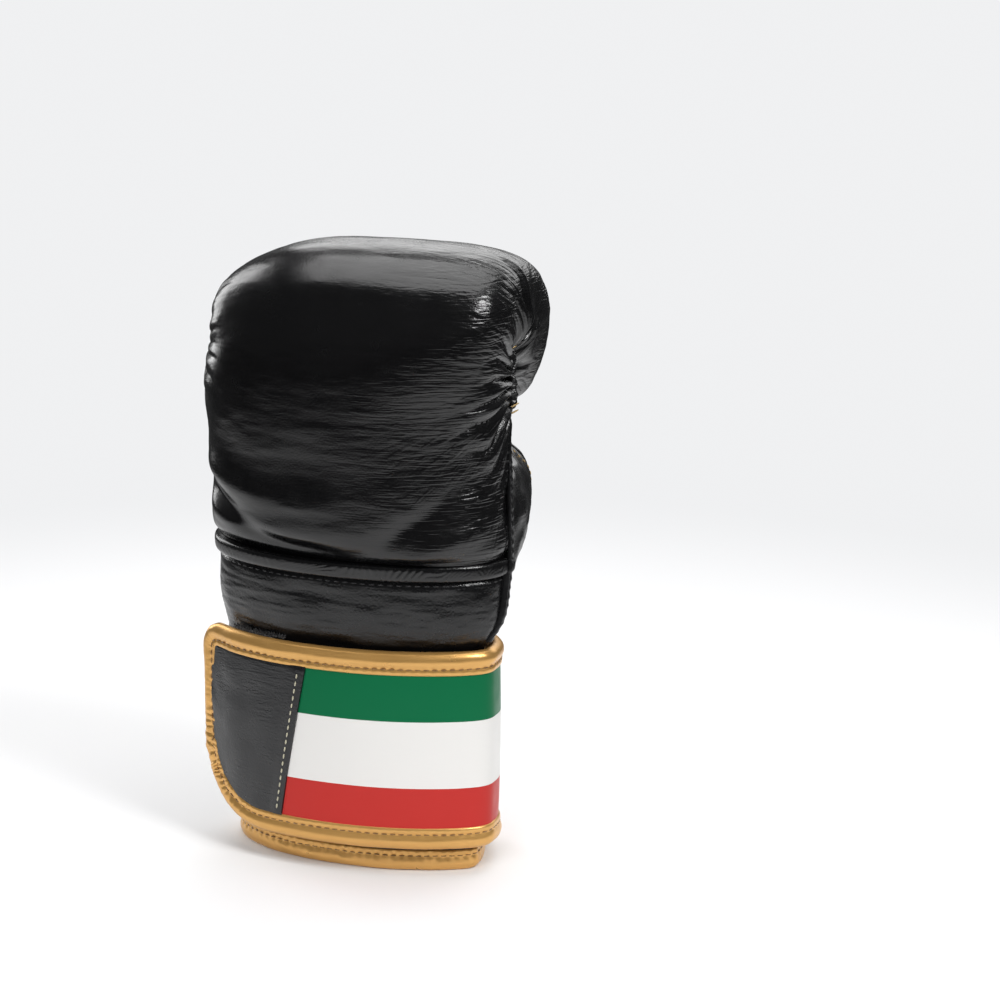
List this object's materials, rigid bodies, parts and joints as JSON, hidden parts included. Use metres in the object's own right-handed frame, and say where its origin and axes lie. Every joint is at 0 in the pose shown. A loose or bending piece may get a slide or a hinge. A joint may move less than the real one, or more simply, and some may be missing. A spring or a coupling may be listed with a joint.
{
  "type": "bag glove",
  "caption": "Left-hand leather bag glove with a padded roll over the fingertips, an open thumb sleeve and a striped wrist strap with gold edge binding.",
  "frame": {"origin": "middle of the footprint of the upright glove, at the foot of its cuff", "axes": "+Z towards the fingers, back of the hand towards -Y, palm towards +Y, thumb side towards +X"},
  "size_m": [0.1352, 0.1224, 0.2551],
  "materials": {
    "black_leather": "semi-gloss grained leather",
    "palm_leather": "smooth satin leather",
    "grey_leather": "grained leather, dark grey",
    "gold_leather": "metallic satin leather",
    "green_leather": "smooth coated leather",
    "white_leather": "smooth coated leather",
    "red_leather": "smooth coated leather",
    "vent_net": "matt knitted net",
    "fastener_pile": "fuzzy loop pile"
  },
  "bodies": {
    "root": {"fist_pad": "black_leather", "wrist_band": "black_leather", "band_welt": "black_leather", "cuff_back": "palm_leather", "palm_panel": "palm_leather", "vent_mesh": "vent_net", "side_welt": "black_leather", "thumb_sleeve": "black_leather", "cuff_binding": "gold_leather", "slit_binding": "gold_leather", "fastener_patch": "fastener_pile", "strap_core": "palm_leather", "stripe_bottom": "red_leather", "stripe_middle": "white_leather", "stripe_top": "green_leather", "strap_end_panel": "grey_leather", "strap_binding": "gold_leather"}
  },
  "joints": []
}
